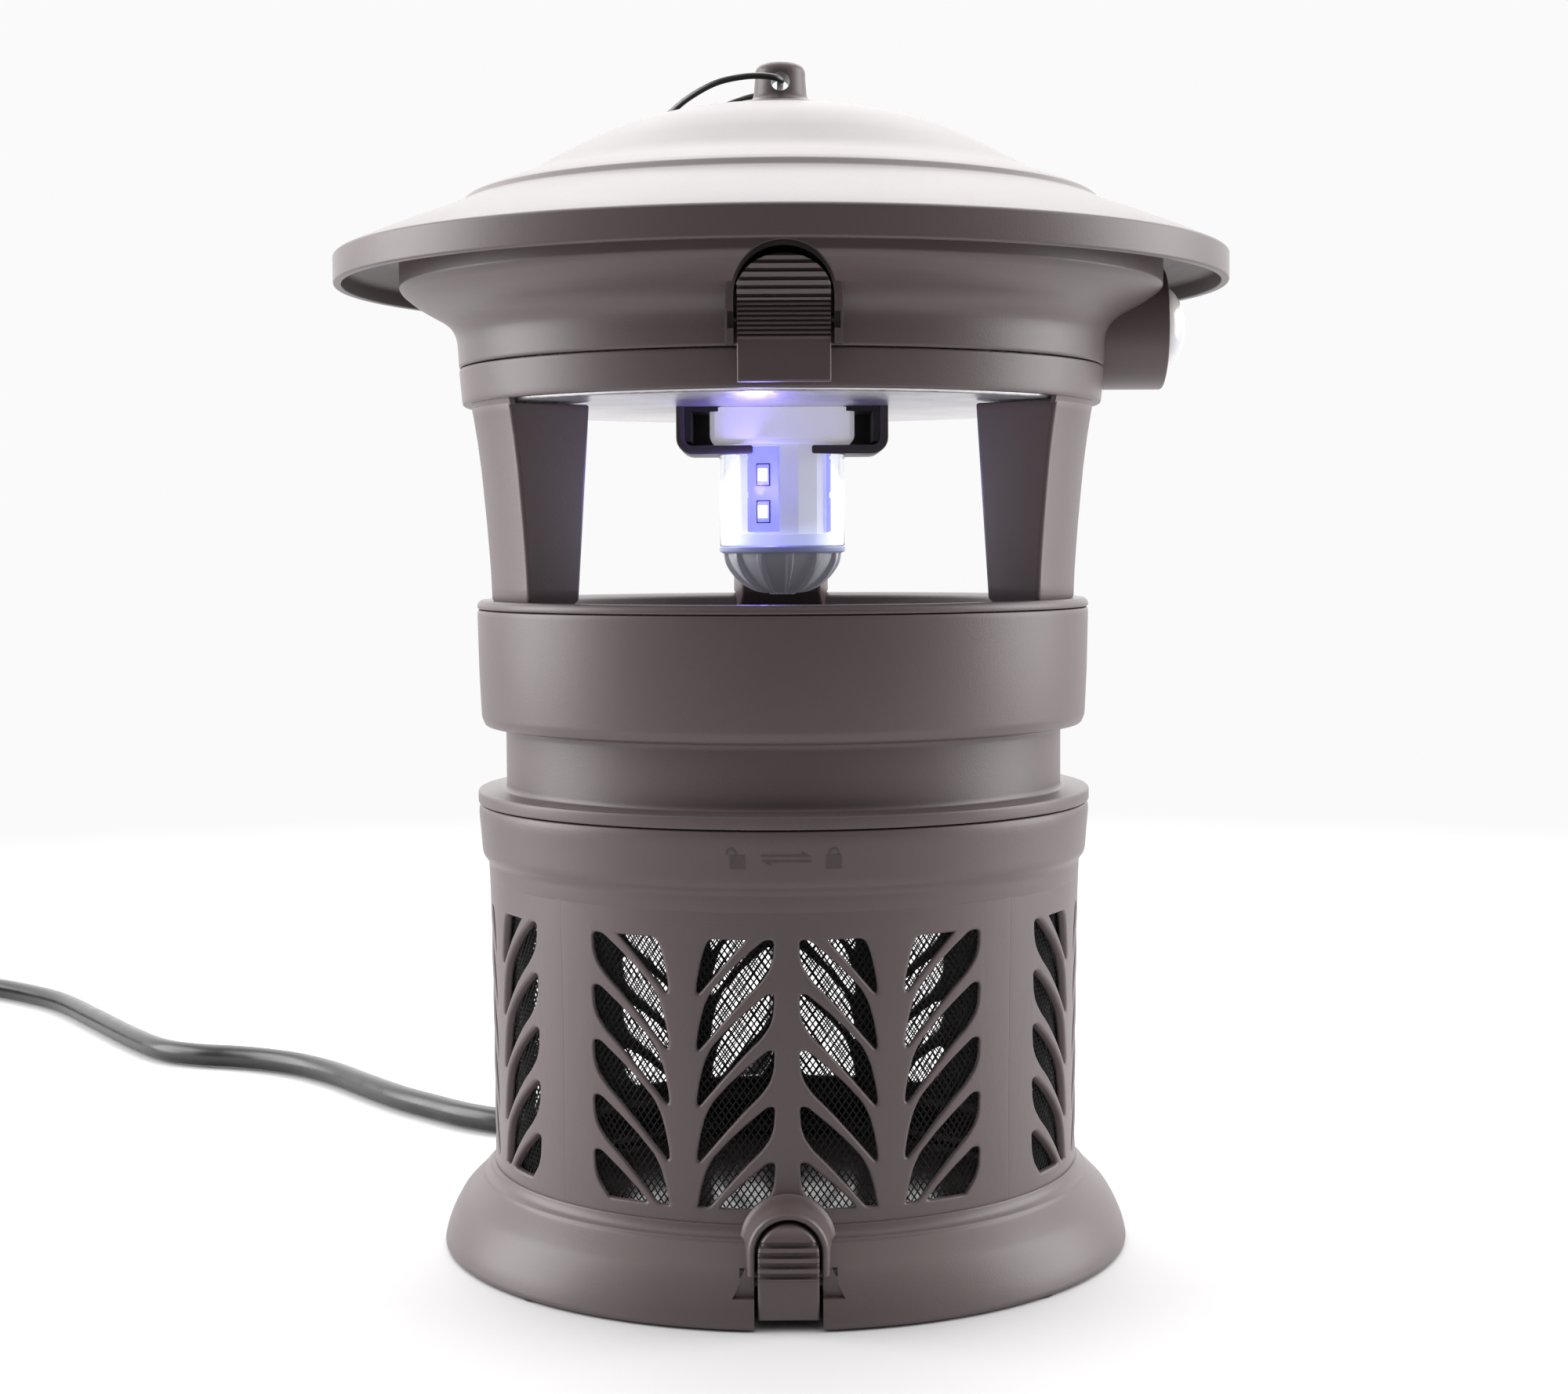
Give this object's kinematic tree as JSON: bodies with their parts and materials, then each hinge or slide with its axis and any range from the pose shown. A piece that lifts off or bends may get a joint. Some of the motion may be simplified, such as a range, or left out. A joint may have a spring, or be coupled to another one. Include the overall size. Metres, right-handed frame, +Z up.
{
  "type": "electric insect trap",
  "caption": "Lantern shaped electric insect trap with a domed roof, a lamp between open legs, a fan and a slotted catch basket.",
  "frame": {"origin": "centre of the base where it meets the surface it stands on", "axes": "+Z up through the hanger post, -Y is the front with both latches, +X is the side with the light sensor"},
  "size_m": [0.6115, 0.55, 0.3326],
  "materials": {
    "taupe_plastic": "moulded matt taupe brown with a fine grain",
    "black_mesh": "woven black mesh",
    "black_rubber": "matt rubber",
    "steel": "plated steel",
    "cord_jacket": "satin black jacket",
    "black_plastic": "matt black",
    "brass": "bright brass",
    "reflector_sheet": "textured silver white sheet",
    "brown_plastic": "dark brown moulded",
    "white_plastic": "white moulded",
    "clear_tube": "clear polished tube",
    "grey_aluminium": "grey extruded core",
    "led_board": "white LED board lit blue violet",
    "grey_plastic": "grey moulded ribs",
    "circuit_board": "green circuit board",
    "lens_clear": "pearly clear dome"
  },
  "bodies": {
    "basket": {"catch_basket": "taupe_plastic", "mesh_liner": "black_mesh", "rubber_feet": "black_rubber", "door_hinge_pin": "steel", "bottom_latch_pin": "steel", "bottom_latch_spring": "steel"},
    "bottom_door": {"bottom_door": "taupe_plastic"},
    "bottom_latch": {"bottom_latch": "taupe_plastic"},
    "seal_ring": {"collar_seal": "black_rubber", "power_cord": "cord_jacket", "cord_coil": "cord_jacket", "coil_tie": "black_plastic", "plug_body": "cord_jacket", "plug_blades": "brass"},
    "trap_unit": {"fan_housing": "taupe_plastic", "top_cap": "taupe_plastic", "leg_cage": "taupe_plastic", "leg_screws": "steel", "fan_grille": "taupe_plastic", "motor_bracket": "taupe_plastic", "fan_motor": "steel", "motor_screws": "steel", "cord_gland": "black_rubber", "head_hinge_pin": "steel"},
    "fan": {"fan_rotor": "black_plastic", "motor_shaft": "steel"},
    "head": {"head_housing": "taupe_plastic", "roof": "taupe_plastic", "roof_screws": "steel", "hanger_post": "taupe_plastic", "hanger_nut": "steel", "reflector_plate": "reflector_sheet", "lamp_bracket": "brown_plastic", "lamp_base": "white_plastic", "lamp_contacts": "brass", "lamp_tube": "clear_tube", "led_core": "grey_aluminium", "led_strips": "led_board", "lamp_collar": "white_plastic", "lamp_cap": "grey_plastic", "driver_board": "circuit_board", "sensor_board": "circuit_board", "sensor_lens": "lens_clear", "top_latch_pin": "steel", "top_latch_spring": "steel"},
    "top_latch": {"top_latch": "taupe_plastic"},
    "hanging_loop": {"hanging_loop": "cord_jacket", "loop_crimp": "steel"}
  },
  "joints": [
    {"name": "basket_twist", "type": "hinge", "parent": "basket", "child": "seal_ring", "pos_m": [0, 0, 0.125], "axis": [0, 0, 1], "range_deg": [0, 20]},
    {"name": "unit_lift", "type": "slide", "parent": "seal_ring", "child": "trap_unit", "axis": [0, 0, 1], "range_m": [0, 0.045]},
    {"name": "head_hinge", "type": "hinge", "parent": "trap_unit", "child": "head", "pos_m": [0, 0.095, 0.247], "axis": [-1, 0, 0], "range_deg": [0, 80]},
    {"name": "top_latch_press", "type": "hinge", "parent": "head", "child": "top_latch", "pos_m": [0, -0.0932, 0.2531], "axis": [-1, 0, 0], "range_deg": [0, 12], "stiffness_Nm_per_rad": 0.05},
    {"name": "loop_swing", "type": "hinge", "parent": "head", "child": "hanging_loop", "pos_m": [0, 0, 0.3264], "axis": [0, 1, 0], "range_deg": [0, 130]},
    {"name": "fan_spin", "type": "hinge", "parent": "trap_unit", "child": "fan", "pos_m": [0, 0, 0.15], "axis": [0, 0, 1], "continuous": true},
    {"name": "door_hinge", "type": "hinge", "parent": "basket", "child": "bottom_door", "pos_m": [0, 0.0845, 0.0054], "axis": [1, 0, 0], "range_deg": [0, 90]},
    {"name": "bottom_latch_press", "type": "hinge", "parent": "basket", "child": "bottom_latch", "pos_m": [0, -0.091, 0.0131], "axis": [-1, 0, 0], "range_deg": [0, 10], "stiffness_Nm_per_rad": 0.05}
  ]
}
